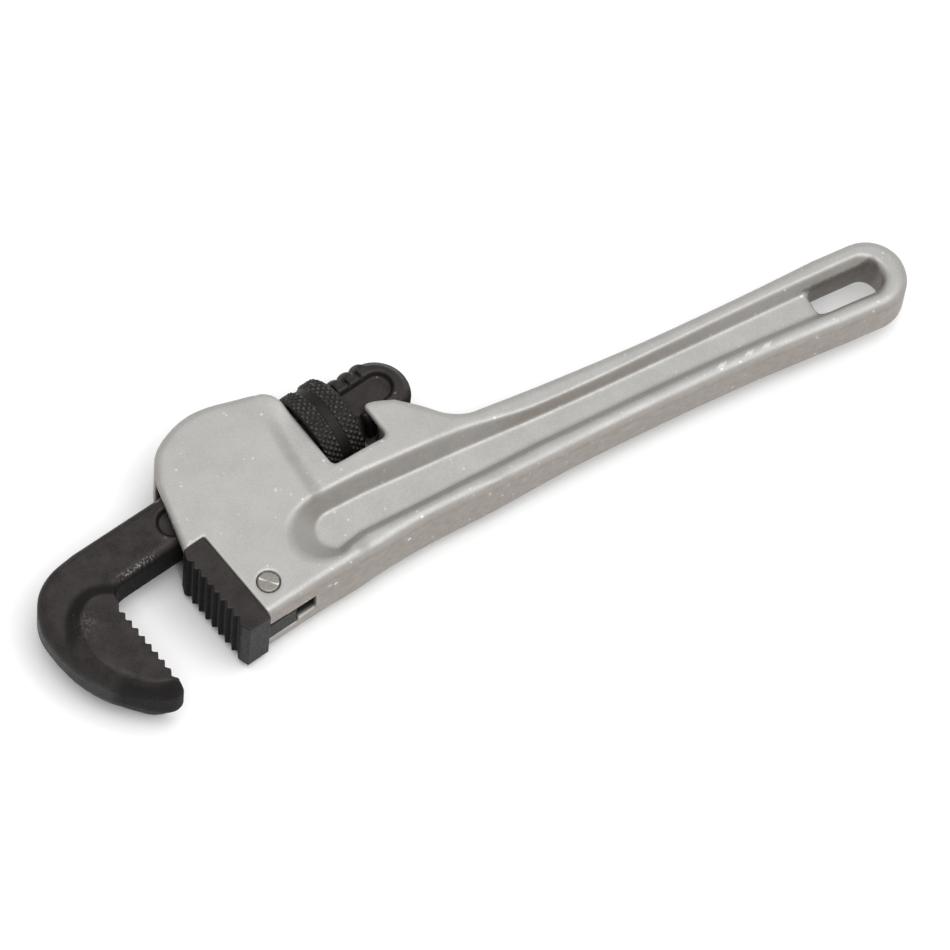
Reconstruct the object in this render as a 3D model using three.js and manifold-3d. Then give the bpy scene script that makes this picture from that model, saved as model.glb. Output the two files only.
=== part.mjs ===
// Adjustable pipe wrench lying on its side, in millimetres.
// +X runs along the handle towards its hang hole, +Z through the thickness, and the mouth opens to -Y.
// The head is laid out in its own axes (a along the hook jaw's shank, b across it), tilted to the handle.
import * as THREE from 'three'
import { mergeVertices } from 'three/addons/utils/BufferGeometryUtils.js'
import Module from 'manifold-3d'

const wasm = await Module()
wasm.setup()

const HEAD_TILT = THREE.MathUtils.degToRad(9.93)
const ORIGIN_X = -7.9846
const ORIGIN_Y = -15.6766
const HANDLE_CENTRE = 7.39
const MID_Z = 13
const HOUSING_HALF = 10
const HEEL_HALF = 10.4
const HOOK_HALF = 9.9
const HANDLE_HALF = 7.25
const WEB_HALF = 3.85
const SHANK_HALF = 6.8
const SHANK_AXIS_B = 39.3
const THREAD_PITCH = 4
const THREAD_CREST_R = 9.5
const THREAD_ROOT_R = 8.2
const THREAD_START_A = -50
const THREAD_END_A = -1.6
const THREAD_PHASE = 0.45
const TAIL_A = -2.8
const TAIL_B = 38.2
const TAIL_R = 9.2
const NUT_R = 13
const NUT_LEFT_A = -27.4
const NUT_LENGTH = 12.7
const NUT_BORE_R = 9.85
const NUT_RIDGE_R = 8.7
const CHANNEL_HALF = 7.3
const TOOTH_PITCH = 2.87
const TOOTH_STEEP = 1.03
const TOOTH_DEPTH = 1.3
const PIN_A = -63.6
const PIN_B = 7.5
const PIN_R = 3.1
const COIL_A = -54
const COIL_R = 2.5
const COIL_WIRE_R = 0.55
const COIL_LOW_B = 17.1
const COIL_HIGH_B = 26.7
const LEAF_HALF_WIDTH = 4.4
const LEAF_THICK = 0.6

// A point of the head's axes as x and y of the part.
function head(a, b) {
  const c = Math.cos(HEAD_TILT)
  const s = Math.sin(HEAD_TILT)
  return [a * c - b * s + ORIGIN_X, a * s + b * c + ORIGIN_Y]
}

// A point measured from the handle's own centreline.
function handle(x, y) {
  return [x + ORIGIN_X, y + HANDLE_CENTRE + ORIGIN_Y]
}

function solidOf(geometry) {
  geometry.deleteAttribute('normal')
  geometry.deleteAttribute('uv')
  const merged = mergeVertices(geometry, 1e-4)
  const mesh = new wasm.Mesh({
    numProp: 3,
    vertProperties: merged.attributes.position.array,
    triVerts: new Uint32Array(merged.index.array),
  })
  return new wasm.Manifold(mesh)
}

function solidFromLists(points, faces) {
  const mesh = new wasm.Mesh({
    numProp: 3,
    vertProperties: new Float32Array(points.flat()),
    triVerts: new Uint32Array(faces.flat()),
  })
  const made = new wasm.Manifold(mesh)
  if (made.volume() > 0) return made
  return solidFromLists(points, faces.map(([p, q, r]) => [p, r, q]))
}

function geometryOf(solid) {
  const mesh = solid.getMesh()
  const positions = []
  for (const v of mesh.triVerts) {
    const at = v * mesh.numProp
    positions.push(mesh.vertProperties[at], mesh.vertProperties[at + 1], mesh.vertProperties[at + 2])
  }
  const geometry = new THREE.BufferGeometry()
  geometry.setAttribute('position', new THREE.Float32BufferAttribute(positions, 3))
  geometry.computeVertexNormals()
  return geometry
}

function shapeOf(points) {
  return new THREE.Shape(points.map(([x, y]) => new THREE.Vector2(x, y)))
}

// A plate of the given outline between two heights, its edges rounded inwards by round.
function plate(points, low, high, round = 0, steps = 3) {
  const geometry = new THREE.ExtrudeGeometry(shapeOf(points), {
    depth: high - low - 2 * round,
    bevelEnabled: round > 0,
    bevelThickness: round,
    bevelSize: round,
    bevelOffset: -round,
    bevelSegments: steps,
  })
  geometry.translate(0, 0, low + round)
  return solidOf(geometry)
}

// A recess tool that is narrow at its floor and wider at the face above it.
function recessTool(points, floor, depth, spread) {
  const geometry = new THREE.ExtrudeGeometry(shapeOf(points), {
    depth: 1,
    bevelEnabled: true,
    bevelThickness: depth,
    bevelSize: spread,
    bevelSegments: 3,
  })
  geometry.translate(0, 0, floor + depth)
  return solidOf(geometry)
}

function flipped(solid) {
  return solid.translate([0, 0, -MID_Z]).mirror([0, 0, 1]).translate([0, 0, MID_Z])
}

// Points round an arc, angles in degrees.
function arc(centreX, centreY, radius, from, to, count) {
  const points = []
  for (let i = 0; i <= count; i++) {
    const t = THREE.MathUtils.degToRad(from + ((to - from) * i) / count)
    points.push([centreX + radius * Math.cos(t), centreY + radius * Math.sin(t)])
  }
  return points
}

// Points along a smooth curve through the given ones.
function smooth(points, count) {
  const curve = new THREE.SplineCurve(points.map(([x, y]) => new THREE.Vector2(x, y)))
  return curve.getPoints(count).map((p) => [p.x, p.y])
}

function headOutline(points) {
  return points.map(([a, b]) => head(a, b))
}

function handleOutline(points) {
  return points.map(([x, y]) => handle(x, y))
}

// A turned body along the shank's axis, from a closed profile of [a, radius].
function turnedOnShank(profile, segments) {
  const geometry = new THREE.LatheGeometry(
    profile.map(([a, r]) => new THREE.Vector2(r, a)),
    segments,
  )
  geometry.rotateZ(-Math.PI / 2)
  return placedOnShank(solidOf(geometry))
}

// Moves a body built along +X at the axis to the shank's axis.
function placedOnShank(solid) {
  const [x, y] = head(0, SHANK_AXIS_B)
  const turned = solid.rotate([0, 0, THREE.MathUtils.radToDeg(HEAD_TILT)])
  return turned.translate([x, y, MID_Z])
}

// A round bar along +X with a helical profile; breaks holds [phase, radius] over one pitch.
function helicalBar(breaks, from, to, segments) {
  const turns = Math.ceil((to - from) / THREAD_PITCH) + 3
  const rows = turns * breaks.length
  const start = Math.floor(from / THREAD_PITCH) - 2
  const points = []
  const faces = []
  for (let k = 0; k <= rows; k++) {
    const [phase, radius] = breaks[k % breaks.length]
    const whole = start + Math.floor(k / breaks.length)
    for (let i = 0; i < segments; i++) {
      const t = (2 * Math.PI * i) / segments
      const x = THREAD_PITCH * (whole + phase + i / segments)
      points.push([x, radius * Math.cos(t), radius * Math.sin(t)])
    }
  }
  const at = (k, i) => (i < segments ? k * segments + i : (k + breaks.length) * segments + i - segments)
  const lastRow = rows - breaks.length
  for (let k = 0; k < lastRow; k++) {
    for (let i = 0; i < segments; i++) {
      faces.push([at(k, i), at(k, i + 1), at(k + 1, i + 1)])
      faces.push([at(k, i), at(k + 1, i + 1), at(k + 1, i)])
    }
  }
  closeHelixEnd(points, faces, at, 0, segments, breaks.length, false)
  closeHelixEnd(points, faces, at, lastRow, segments, breaks.length, true)
  return solidFromLists(points, usedOnly(points, faces))
}

// A fan from the axis over the stepped ring where the helix starts or stops.
function closeHelixEnd(points, faces, at, row, segments, period, reverse) {
  const ring = []
  for (let i = 0; i <= segments; i++) ring.push(at(row, i))
  for (let k = row + period - 1; k > row; k--) ring.push(at(k, 0))
  const centre = points.length
  points.push([points[at(row, 0)][0], 0, 0])
  for (let i = 0; i < ring.length; i++) {
    const next = ring[(i + 1) % ring.length]
    faces.push(reverse ? [centre, ring[i], next] : [centre, next, ring[i]])
  }
}

// Drops points that no face uses and renumbers the faces.
function usedOnly(points, faces) {
  const map = new Map()
  const kept = []
  const renumbered = faces.map((face) =>
    face.map((v) => {
      if (!map.has(v)) {
        map.set(v, kept.length)
        kept.push(points[v])
      }
      return map.get(v)
    }),
  )
  points.length = 0
  points.push(...kept)
  return renumbered
}

function roundBar(x, y, low, high, radius, segments) {
  const geometry = new THREE.CylinderGeometry(radius, radius, high - low, segments)
  geometry.rotateX(Math.PI / 2)
  geometry.translate(x, y, (low + high) / 2)
  return solidOf(geometry)
}

// A round bar that runs across the head, along b, at mid thickness.
function roundBarAcross(a, low, high, radius, segments) {
  const geometry = new THREE.CylinderGeometry(radius, radius, high - low, segments)
  const solid = solidOf(geometry).rotate([0, 0, THREE.MathUtils.radToDeg(HEAD_TILT)])
  const [x, y] = head(a, (low + high) / 2)
  return solid.translate([x, y, MID_Z])
}

// ---- aluminium housing with its handle ----

function headPlate() {
  const crownThrough = [[-69.4, 48.4], [-63.1, 56.5], [-51, 60.1], [-38.7, 57.6], [-24, 49.2], [-8.2, 34.8]]
  const crown = smooth(crownThrough, 16)
  const neck = smooth([[-2.6, 31.6], [2, 25.6], [6.5, 18.3], [12, 8], [13.5, 3]], 6)
  const front = [[12, -4], [4.2, -5.6], [-15.6, -3.2], [-40, -2.3], [-54, -1.6], [-84, -0.9]]
  const outline = [...front, [-75.9, 28.3], ...crown, ...neck]
  const seat = [[-90, -8], [-69.2, -8], [-69.2, 28.3], [-90, 28.3]]
  const whole = plate(headOutline(outline), MID_Z - HOUSING_HALF, MID_Z + HOUSING_HALF, 2.4)
  return whole.subtract(plate(headOutline(seat), -5, 31))
}

function handlePlate() {
  const back = smooth([[10.7, 10.7], [36, 10.6], [62, 10.1], [92, 10.6], [115, 11.5]], 10)
  const frontThrough = [[115, -10.4], [92, -9.6], [73, -9.5], [54, -9.8], [35, -10.4], [16, -11.5], [5.1, -12.2]]
  const front = smooth(frontThrough, 12)
  const tip = arc(126.3, 0.4, 11, 87, -87, 10)
  const outline = [[-14, 10.7], [5, 10.7], ...back, ...tip, ...front, [-14, -8]]
  return plate(handleOutline(outline), MID_Z - HANDLE_HALF, MID_Z + HANDLE_HALF, 2.6)
}

// The long hollow on each side that makes the handle an I-beam.
function handleRecess() {
  const headEnd = arc(-37, 11.3, 5.6, 232, 95, 6)
  const upper = smooth([[3.3, 3.3], [33, 3.1], [62, 3.4], [92, 3.9], [118, 4.5]], 6)
  const lower = smooth([[119, -3], [92, -2.4], [62, -2.4], [22, -3.2]], 4)
  const holeEnd = arc(124.6, 0.5, 4.2, 70, -70, 5)
  const points = [
    ...headOutline([...headEnd, [-25, 15.4]]),
    ...handleOutline([...upper, ...holeEnd, ...lower]),
    ...headOutline([[-18, 5.4], [-33, 7.4]]),
  ]
  return recessTool(points, MID_Z + WEB_HALF, HOUSING_HALF - WEB_HALF, 3.4)
}

function hangHole() {
  const outline = [
    ...arc(127.1, 1.6, 2.9, 90, 0, 4),
    ...arc(127.1, -1, 2.9, 0, -90, 4),
    ...arc(112.1, -1, 2.9, -90, -180, 4),
    ...arc(112.1, 1.6, 2.9, 180, 90, 4),
  ]
  return plate(handleOutline(outline), -5, 31)
}

function nutWindow() {
  const lowLeft = arc(-26.5, 26.7, 1.6, 180, 266, 4)
  const lowRight = arc(-12.7, 25.7, 1.6, 274, 358, 4)
  const underHorn = arc(-9.3, 33.5, 1.6, 178, 90, 4)
  const outline = [[-27.7, 64], ...lowLeft, ...lowRight, ...underHorn, [-8.4, 35.2], [-8.4, 64]]
  return plate(headOutline(outline), -5, 31)
}

function shankChannel() {
  const outline = [[-84, 51.9], [-26, 49.5], [30, 49.5], [30, 27.2], [-26, 28.9], [-84, 28.9]]
  return plate(headOutline(outline), MID_Z - CHANNEL_HALF, MID_Z + CHANNEL_HALF)
}

function springRecess() {
  const outline = [[-67, 29.5], [-29.8, 29.5], [-29.8, 26.7], [-67, 26.7]]
  return plate(headOutline(outline), MID_Z - 5.2, MID_Z + 5.2)
}

function tongueSlot() {
  const outline = [[-72, -6], [-72, 15.8], [-59.6, 15.8], [-56.4, 13], [-53.9, 8], [-53.9, -6]]
  return plate(headOutline(outline), MID_Z - 4, MID_Z + 4)
}

function housing() {
  let body = headPlate().add(handlePlate())
  const [pinX, pinY] = head(PIN_A, PIN_B)
  const cuts = [
    handleRecess(),
    flipped(handleRecess()),
    hangHole(),
    nutWindow(),
    shankChannel(),
    springRecess(),
    tongueSlot(),
    roundBarAcross(COIL_A, 16.4, 28, 3.5, 20),
    roundBar(pinX, pinY, 0, 26, PIN_R + 0.3, 24),
  ]
  for (const cut of cuts) body = body.subtract(cut)
  return body
}

// ---- heel jaw, its pin ----

// One tool that cuts saw teeth across a jaw face; out is +1 where the face looks to +a and -1 for -a.
function toothCut(faceA, topB, count, out) {
  const toTip = out > 0 ? TOOTH_STEEP : TOOTH_PITCH - TOOTH_STEEP
  const above = TOOTH_PITCH - toTip
  const slopeAbove = above / TOOTH_DEPTH
  const slopeBelow = toTip / TOOTH_DEPTH
  const tipA = faceA - 0.02 * out
  const valleyA = faceA - TOOTH_DEPTH * out
  const outline = [[faceA + 3 * out, topB + above + 3 * slopeAbove]]
  for (let i = 0; i <= count; i++) {
    outline.push([valleyA, topB - i * TOOTH_PITCH])
    if (i < count) outline.push([tipA, topB - i * TOOTH_PITCH - toTip])
  }
  outline.push([faceA + 3 * out, topB - count * TOOTH_PITCH - toTip - 3 * slopeBelow])
  return plate(headOutline(outline), -5, 31)
}

function heelJaw() {
  const block = [
    [-69.5, -0.9], [-69.5, 28], [-75.6, 28], [-77.2, 25.4], [-77.3, 1.9], [-76.4, -0.9],
  ]
  const nose = smooth([[-62.5, -0.3], [-59.8, 1.6], [-57.9, 5], [-57.6, 8.4], [-59.6, 12.4], [-63, 14.8]], 10)
  const tongue = [[-71, -0.7], ...nose, [-71, 15.1]]
  let body = plate(headOutline(block), MID_Z - HEEL_HALF, MID_Z + HEEL_HALF, 0.5, 1)
  body = body.add(plate(headOutline(tongue), MID_Z - 3.7, MID_Z + 3.7))
  body = body.subtract(toothCut(-77.3, 23.85, 7, -1))
  const [pinX, pinY] = head(PIN_A, PIN_B)
  return body.subtract(roundBar(pinX, pinY, 0, 26, PIN_R + 0.3, 24))
}

function heelJawPin() {
  const [pinX, pinY] = head(PIN_A, PIN_B)
  return roundBar(pinX, pinY, MID_Z - HOUSING_HALF, MID_Z + HOUSING_HALF, PIN_R, 24)
}

// ---- hook jaw ----

function hookBody() {
  const crown = [[-98.9, 46.4], [-107.4, 45.3], [-114, 41.5], [-118.2, 34.6], [-118.9, 26], [-117.6, 17.5]]
  const low = [[-113.6, 9], [-109, 2.9], [-104.6, -1.5]]
  const nose = [[-101.2, -2.9], [-98.2, -1.5]]
  const throat = arc(-92.9, 25.5, 6.4, 180, 92, 4)
  const outline = [[-40, 46.2], ...smooth([...crown, ...low], 20), ...nose, ...throat, [-40, 31.95]]
  return plate(headOutline(outline), MID_Z - SHANK_HALF, MID_Z + SHANK_HALF, 1.8, 2)
}

// The thicker block that carries the hook jaw's teeth.
function toothBlock() {
  const back = [[-99.6, 29.2], [-103.4, 31.6], [-107.6, 29.8], [-111.4, 25], [-113, 18.5]]
  const low = [[-111, 10], [-106, 3.2]]
  const outline = [[-100.3, 0], [-99.3, 2], [-99.3, 23], ...smooth([...back, ...low], 14), [-103, 0.4]]
  return plate(headOutline(outline), MID_Z - HOOK_HALF, MID_Z + HOOK_HALF, 1.6, 2)
}

// Helix breaks moved along by the thread's starting phase.
function shifted(breaks) {
  return breaks.map(([phase, radius]) => [phase + THREAD_PHASE, radius])
}

function threadedShank() {
  const breaks = shifted([
    [0, THREAD_ROOT_R], [0.14, THREAD_ROOT_R], [0.27, THREAD_CREST_R], [0.87, THREAD_CREST_R],
  ])
  const from = THREAD_START_A - 0.6
  const to = THREAD_END_A + 0.5
  const bar = placedOnShank(helicalBar(breaks, from, to, 28))
  const keep = [[from, 60], [to, 60], [to, 20], [from, 20]]
  return bar.intersect(plate(headOutline(keep), MID_Z - SHANK_HALF, MID_Z + SHANK_HALF))
}

// The rounded free end of the shank.
function shankTail() {
  const outline = arc(TAIL_A, TAIL_B, TAIL_R, 0, 345, 23)
  const disc = plate(headOutline(outline), MID_Z - SHANK_HALF, MID_Z + SHANK_HALF, 2, 1)
  const keep = [[THREAD_END_A, 60], [10, 60], [10, 20], [THREAD_END_A, 20]]
  return disc.intersect(plate(headOutline(keep), 0, 26))
}

function sidePocket() {
  const right = arc(-3.3, 38, 4.3, 90, -90, 6)
  const left = arc(-72.2, 38, 4.3, -90, -270, 6)
  return plate(headOutline([...right, ...left]), MID_Z + SHANK_HALF - 1, MID_Z + SHANK_HALF + 2)
}

function hookJaw() {
  const beyond = [[THREAD_START_A, 60], [-30, 60], [-30, 20], [THREAD_START_A, 20]]
  const shank = hookBody().subtract(plate(headOutline(beyond), 0, 26))
  let body = shank.add(toothBlock()).add(threadedShank()).add(shankTail())
  body = body.subtract(toothCut(-99.3, 23.8, 8, 1))
  return body.subtract(sidePocket()).subtract(flipped(sidePocket()))
}

// ---- knurled nut ----

function knurledNut() {
  const a = NUT_LEFT_A
  const b = a + NUT_LENGTH
  const profile = [
    [a, 0], [a, NUT_R - 0.8], [a + 0.8, NUT_R], [a + 4.4, NUT_R], [a + 4.8, NUT_R - 0.8],
    [a + 7.3, NUT_R - 0.8], [a + 7.7, NUT_R], [b - 1.6, NUT_R], [b - 0.5, NUT_R - 0.7], [b, NUT_R - 2], [b, 0],
  ]
  const blank = turnedOnShank(profile, 36)
  const breaks = shifted([
    [-0.015, NUT_RIDGE_R], [0.155, NUT_RIDGE_R], [0.21, NUT_BORE_R], [0.93, NUT_BORE_R],
  ])
  const hole = placedOnShank(helicalBar(breaks, a - 2, b + 2, 28))
  return blank.subtract(hole)
}

// ---- springs ----

function flatSpring() {
  const lower = [[-65.5, 28.1], [-60, 27.75], [-48, 27.55], [-37, 27.7], [-31, 28.1]]
  const upper = lower.map(([a, b]) => [a, b + LEAF_THICK]).reverse()
  const leaf = plate(headOutline([...lower, ...upper]), MID_Z - LEAF_HALF_WIDTH, MID_Z + LEAF_HALF_WIDTH)
  return leaf.subtract(roundBarAcross(COIL_A, 20, 30, 1.2, 12))
}

// The rivet that holds the coil's end to the leaf: a flat head above the leaf and a stem down into the coil.
function springRivet() {
  const stem = roundBarAcross(COIL_A, 24.4, 28.7, 0.85, 12)
  const top = roundBarAcross(COIL_A, 28.4, 28.9, 1.9, 16)
  return stem.add(top)
}

class CoilCurve extends THREE.Curve {
  getPoint(t, target = new THREE.Vector3()) {
    const turn = 2 * Math.PI * 5 * t
    const rise = COIL_LOW_B + (COIL_HIGH_B - COIL_LOW_B) * t
    const [x, y] = head(COIL_A + COIL_R * Math.cos(turn), rise)
    return target.set(x, y, MID_Z + COIL_R * Math.sin(turn))
  }
}

function coilSpring() {
  const wire = new THREE.Shape()
  wire.absarc(0, 0, COIL_WIRE_R, 0, 2 * Math.PI, false)
  const geometry = new THREE.ExtrudeGeometry(wire, {
    steps: 70,
    curveSegments: 6,
    bevelEnabled: false,
    extrudePath: new CoilCurve(),
  })
  return solidOf(geometry)
}

// ---- the assembly ----

const LOOKS = {
  casting: { color: 0xb9b6b0, roughness: 0.5, metalness: 0.6 },
  blackSteel: { color: 0x3d3937, roughness: 0.5, metalness: 0.7 },
  nutSteel: { color: 0x37332f, roughness: 0.4, metalness: 0.75 },
  springSteel: { color: 0x5a5c60, roughness: 0.35, metalness: 0.9 },
  pin: { color: 0xa5a099, roughness: 0.4, metalness: 0.8 },
}

function named(name, solid, look) {
  const mesh = new THREE.Mesh(geometryOf(solid), new THREE.MeshStandardMaterial(look))
  mesh.name = name
  return mesh
}

const group = new THREE.Group()
group.name = 'pipe_wrench'
group.add(named('handle_housing', housing(), LOOKS.casting))
group.add(named('heel_jaw', heelJaw(), LOOKS.blackSteel))
group.add(named('heel_jaw_pin', heelJawPin(), LOOKS.pin))
group.add(named('hook_jaw', hookJaw(), LOOKS.blackSteel))
group.add(named('knurled_nut', knurledNut(), LOOKS.nutSteel))
group.add(named('flat_spring', flatSpring(), LOOKS.springSteel))
group.add(named('spring_rivet', springRivet(), LOOKS.springSteel))
group.add(named('coil_spring', coilSpring(), LOOKS.springSteel))

export default group
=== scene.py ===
"""The looks of an adjustable pipe wrench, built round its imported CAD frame.

Shapes are laid out in millimetres in the head's own axes: a along the hook jaw's shank, b across it
and z from the middle of the thickness. Each solid is a distance field on a grid, turned into a mesh.
"""

import math

import bpy
import numpy as np
from mathutils import Matrix, Vector


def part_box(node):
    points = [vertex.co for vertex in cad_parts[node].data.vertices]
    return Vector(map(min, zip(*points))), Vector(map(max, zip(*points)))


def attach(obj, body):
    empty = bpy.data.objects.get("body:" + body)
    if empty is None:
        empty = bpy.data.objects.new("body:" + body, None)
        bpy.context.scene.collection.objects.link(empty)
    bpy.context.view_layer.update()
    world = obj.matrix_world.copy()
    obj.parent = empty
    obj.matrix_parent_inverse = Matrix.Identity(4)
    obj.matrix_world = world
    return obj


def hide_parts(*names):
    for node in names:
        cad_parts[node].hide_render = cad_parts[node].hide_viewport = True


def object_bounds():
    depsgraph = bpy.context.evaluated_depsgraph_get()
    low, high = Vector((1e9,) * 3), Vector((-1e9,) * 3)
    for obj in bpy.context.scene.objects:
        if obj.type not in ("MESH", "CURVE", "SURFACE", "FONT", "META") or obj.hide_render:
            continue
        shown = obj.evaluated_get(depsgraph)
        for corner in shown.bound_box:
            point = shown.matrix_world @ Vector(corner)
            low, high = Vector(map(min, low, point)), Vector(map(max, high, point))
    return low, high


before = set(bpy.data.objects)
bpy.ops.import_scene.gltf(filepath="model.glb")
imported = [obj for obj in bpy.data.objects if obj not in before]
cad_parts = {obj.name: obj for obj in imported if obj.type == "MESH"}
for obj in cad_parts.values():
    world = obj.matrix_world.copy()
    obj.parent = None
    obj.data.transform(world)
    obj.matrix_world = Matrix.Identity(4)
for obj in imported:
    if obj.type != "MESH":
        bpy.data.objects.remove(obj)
CAD_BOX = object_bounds()

MM = 0.001
HEAD_TILT = math.radians(9.93)
ORIGIN_X = -7.9846
ORIGIN_Y = -15.6766
HANDLE_CENTRE = 7.39


def thickness(node):
    """Half thickness and middle height of a CAD node, in millimetres."""
    low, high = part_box(node)
    return (high.z - low.z) / 2 / MM, (high.z + low.z) / 2 / MM


HOUSING_HALF, MID_Z = thickness("handle_housing")
JAW_HALF = thickness("hook_jaw")[0]
HEEL_HALF = thickness("heel_jaw")[0]
NUT_R = thickness("knurled_nut")[0]
PIN_R = (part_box("heel_jaw_pin")[1].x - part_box("heel_jaw_pin")[0].x) / 2 / MM

# The casting: half thicknesses, the recess's head end, the channel for the shank and the hang hole.
HANDLE_HALF = 7.25
WEB_HALF = 3.85
CHANNEL_HALF = 7.3
RECESS_END_A = -37
RECESS_END_B = 11.3
HOLE_X = 119.6
HOLE_Y = 0.3
HOLE_STRAIGHT_X = 7.5
HOLE_STRAIGHT_Y = 1.3
HOLE_CORNER_R = 2.9

# The hook jaw's shank: its thread, the pocket along its side and its round tail.
SHANK_HALF = 6.8
SHANK_AXIS_B = 39.3
THREAD_PITCH = 4
THREAD_START_A = -50.6
THREAD_END_A = -1.6
THREAD_PHASE = 0.52
THREAD_ROOT_R = 7.3
THREAD_CREST_R = 9.5
POCKET_START_A = -72.2
POCKET_END_A = -3.3
POCKET_B = 38
POCKET_R = 4.4
TAIL_A = -4.3
TAIL_B = 37.4
TAIL_R = 9.7

# The teeth of both jaws.
HEEL_FACE_A = -77.3
HOOK_FACE_A = -99.3
TOOTH_PITCH = 2.87
TOOTH_DEPTH = 1.3
TOOTH_STEEP = 1.03

# The nut: its groove lies between two knurled bands.
NUT_LEFT_A = -27.4
NUT_LENGTH = 12.7
NUT_BORE_R = 9.85
NUT_RIDGE = 1.15
GROOVE_START = 4.4
GROOVE_END = 7.7
GROOVE_SLOPE = 0.4
KNURL_COUNT = 40
KNURL_DEPTH = 0.55

# The pin, and the coil spring under the leaf.
PIN_A = -63.6
PIN_B = 7.5
PIN_GAP = 0.16
COIL_A = -54
COIL_R = 2.5


# ---- axes ----


def head_to_part(a, b):
    """The part's own axes, in millimetres."""
    c = math.cos(HEAD_TILT)
    s = math.sin(HEAD_TILT)
    return a * c - b * s + ORIGIN_X, a * s + b * c + ORIGIN_Y


def head_to_handle(a, b):
    """The handle's own axes: x along it, y from its centreline."""
    c = math.cos(HEAD_TILT)
    s = math.sin(HEAD_TILT)
    return a * c - b * s, a * s + b * c - HANDLE_CENTRE


def handle_to_head(x, y):
    c = math.cos(HEAD_TILT)
    s = math.sin(HEAD_TILT)
    y = y + HANDLE_CENTRE
    return x * c + y * s, y * c - x * s


# ---- outlines ----


def smooth(points, count):
    """Points along a smooth curve through the given ones."""
    p = np.array(points, float)
    t = np.linspace(0, len(p) - 1, count + 1)
    i = np.minimum(t.astype(int), len(p) - 2)
    w = (t - i)[:, None]
    before = p[np.maximum(i - 1, 0)]
    here = p[i]
    after = p[i + 1]
    beyond = p[np.minimum(i + 2, len(p) - 1)]
    v0 = (after - before) / 2
    v1 = (beyond - here) / 2
    cubic = 2 * here - 2 * after + v0 + v1
    square = 3 * after - 3 * here - 2 * v0 - v1
    return [tuple(q) for q in cubic * w**3 + square * w**2 + v0 * w + here]


def arc(centre_a, centre_b, radius, start, end, count):
    """Points round an arc, angles in degrees."""
    turn = np.radians(np.linspace(start, end, count + 1))
    return [(centre_a + radius * math.cos(t), centre_b + radius * math.sin(t)) for t in turn]


def on_handle(points):
    return [handle_to_head(x, y) for x, y in points]


def outline_distance(points, u, v):
    """Distance of each point to a closed outline, negative inside it."""
    p = np.array(points, float)
    best = np.full(u.shape, 1e9)
    inside = np.zeros(u.shape, bool)
    for (pu, pv), (qu, qv) in zip(p, np.roll(p, -1, axis=0)):
        eu, ev = qu - pu, qv - pv
        t = np.clip(((u - pu) * eu + (v - pv) * ev) / (eu * eu + ev * ev + 1e-12), 0, 1)
        best = np.minimum(best, (u - pu - eu * t) ** 2 + (v - pv - ev * t) ** 2)
        if abs(ev) > 1e-9:
            crossed = ((pv > v) != (qv > v)) & (u < eu * (v - pv) / ev + pu)
            inside ^= crossed
    return np.where(inside, -1.0, 1.0) * np.sqrt(best)


# ---- distance fields ----


def meet(f, g, r):
    """What two fields share, the edge between them rounded."""
    u = np.maximum(f + r, 0)
    v = np.maximum(g + r, 0)
    return np.minimum(np.maximum(f, g), -r) + np.sqrt(u * u + v * v)


def join(f, g, r):
    """Both fields together, the corner between them filleted."""
    return -meet(-f, -g, r)


def carve(f, g, r):
    """The first field less the second, the new edge rounded."""
    return meet(f, -g, r)


def bevel(f, g, c):
    """What two fields share, the edge between them cut off flat."""
    return np.maximum(np.maximum(f, g), (f + g + c) * math.sqrt(0.5))


def ramp(x, start, end):
    """Rises smoothly from 0 at start to 1 at end."""
    t = np.clip((x - start) / (end - start), 0, 1)
    return t * t * (3 - 2 * t)


def between(low, high, share):
    return low + (high - low) * share


def lines(*stretches):
    """Grid lines over stretches of (start, end, step)."""
    made = [np.array([stretches[0][0]])]
    for start, end, step in stretches:
        count = max(1, round((end - start) / step))
        made.append(np.linspace(start, end, count + 1)[1:])
    return np.concatenate(made)


class Grid:
    """A rectangular grid in head axes, with its plan and its heights ready to be broadcast."""

    def __init__(self, a, b, z):
        self.axes = (a, b, z)
        self.a, self.b = (m.astype(np.float32) for m in np.meshgrid(a, b, indexing="ij"))
        self.x, self.y = head_to_handle(self.a, self.b)
        self.z = z.astype(np.float32)[None, None, :]

    def plan(self, points):
        return outline_distance(points, self.a, self.b).astype(np.float32)

    def plate(self, plan, half, r, draft=0.0):
        """A plate of that plan and half thickness, which may vary over the plan, with rounded edges.

        Its walls lean in by draft times the height from the middle.
        """
        half = np.broadcast_to(np.asarray(half, np.float32), self.a.shape)
        da, db = np.gradient(half, self.axes[0], self.axes[1])
        upright = 1 / np.sqrt(1 + da * da + db * db)
        face = (np.abs(self.z) - half[:, :, None]) * upright[:, :, None]
        r = np.broadcast_to(np.asarray(r, np.float32), self.a.shape)[:, :, None]
        draft = np.broadcast_to(np.asarray(draft, np.float32), self.a.shape)[:, :, None]
        return meet(plan[:, :, None] + draft * np.abs(self.z), face, r)

    def block(self, plan, low, high):
        """A sharp-edged block of that plan between two heights."""
        return np.maximum(plan[:, :, None], np.maximum(low - self.z, self.z - high))


CORNERS = np.array([(i, j, k) for i in (0, 1) for j in (0, 1) for k in (0, 1)])
CELL_EDGES = [(p, q) for p in range(8) for q in range(p + 1, 8) if abs(CORNERS[p] - CORNERS[q]).sum() == 1]


def sample(field, axes, points):
    """The field at points between grid lines."""
    low = []
    share = []
    for k in range(3):
        at = np.interp(points[:, k], axes[k], np.arange(len(axes[k])))
        whole = np.minimum(at.astype(int), len(axes[k]) - 2)
        low.append(whole)
        share.append(at - whole)
    value = 0
    for corner in CORNERS:
        weight = 1
        for k in range(3):
            weight = weight * (share[k] if corner[k] else 1 - share[k])
        value = value + weight * field[tuple(low[k] + corner[k] for k in range(3))]
    return value


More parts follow.
